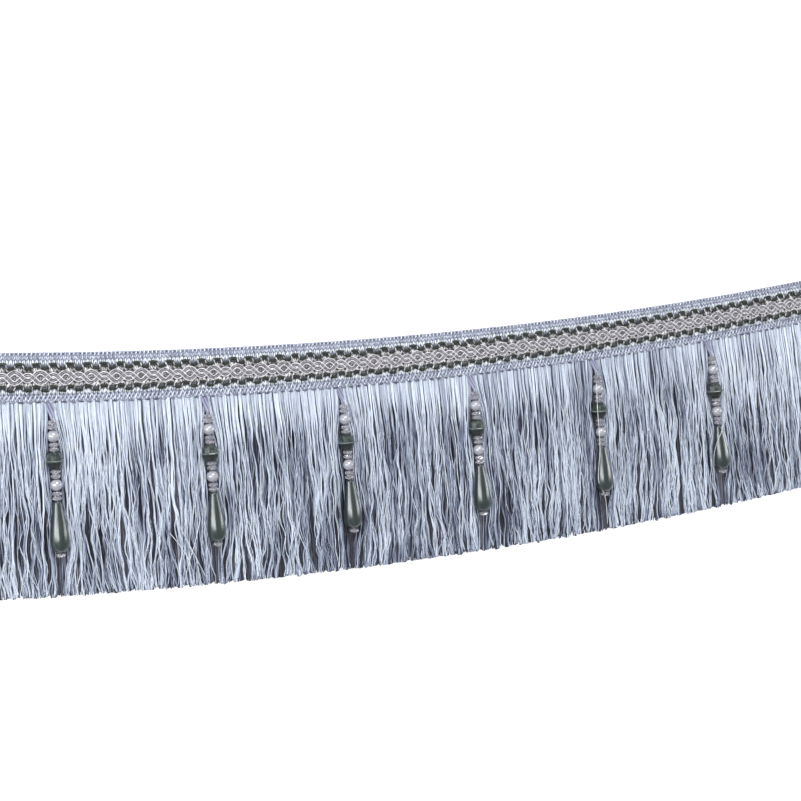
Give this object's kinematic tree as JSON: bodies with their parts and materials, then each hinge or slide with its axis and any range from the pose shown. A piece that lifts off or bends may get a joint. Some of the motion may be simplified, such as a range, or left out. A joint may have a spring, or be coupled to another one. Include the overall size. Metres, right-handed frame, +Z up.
{
  "type": "beaded fringe trim",
  "caption": "Cut length of crochet-knit trimming with a braided heading, a long cut brush fringe and bead drops hanging over it, lying flat in a gentle arc.",
  "frame": {"origin": "on the back (sewing side) of the heading, at the middle of its length and width, on the surface the trim lies on", "axes": "+X along the trim, from left to right with the face up; +Y from the fringe to the heading's top edge; +Z up from the back to the face"},
  "size_m": [0.5043, 0.1311, 0.0103],
  "materials": {
    "fringe_yarn": "silky cut rayon yarn, pale blue-grey to slate lavender",
    "heading_yarn": "knitted rayon, slate lavender with pale blue floats",
    "silver_gimp": "shiny silver-beige gimp cords",
    "green_cord": "dark olive-green twisted cord",
    "pearl": "imitation pearl, off-white with a pink tint",
    "dark_green_bead": "translucent dark green, faceted",
    "pearlescent_green": "dark blue-green pearlescent coat",
    "clear_spacers": "clear faceted spacer beads on a lavender thread"
  },
  "bodies": {
    "root": {"heading_tape": "heading_yarn", "gimp_braid": "silver_gimp", "green_cord_upper": "green_cord", "green_cord_lower": "green_cord", "fringe": "fringe_yarn", "drop_1_threaded_spacers": "clear_spacers", "drop_1_upper_pearl": "pearl", "drop_1_lantern_bead": "dark_green_bead", "drop_1_lower_pearl": "pearl", "drop_1_teardrop": "pearlescent_green", "drop_2_threaded_spacers": "clear_spacers", "drop_2_upper_pearl": "pearl", "drop_2_lantern_bead": "dark_green_bead", "drop_2_lower_pearl": "pearl", "drop_2_teardrop": "pearlescent_green", "drop_3_threaded_spacers": "clear_spacers", "drop_3_upper_pearl": "pearl", "drop_3_lantern_bead": "dark_green_bead", "drop_3_lower_pearl": "pearl", "drop_3_teardrop": "pearlescent_green", "drop_4_threaded_spacers": "clear_spacers", "drop_4_upper_pearl": "pearl", "drop_4_lantern_bead": "dark_green_bead", "drop_4_lower_pearl": "pearl", "drop_4_teardrop": "pearlescent_green", "drop_5_threaded_spacers": "clear_spacers", "drop_5_upper_pearl": "pearl", "drop_5_lantern_bead": "dark_green_bead", "drop_5_lower_pearl": "pearl", "drop_5_teardrop": "pearlescent_green", "drop_6_threaded_spacers": "clear_spacers", "drop_6_upper_pearl": "pearl", "drop_6_lantern_bead": "dark_green_bead", "drop_6_lower_pearl": "pearl", "drop_6_teardrop": "pearlescent_green"}
  },
  "joints": []
}
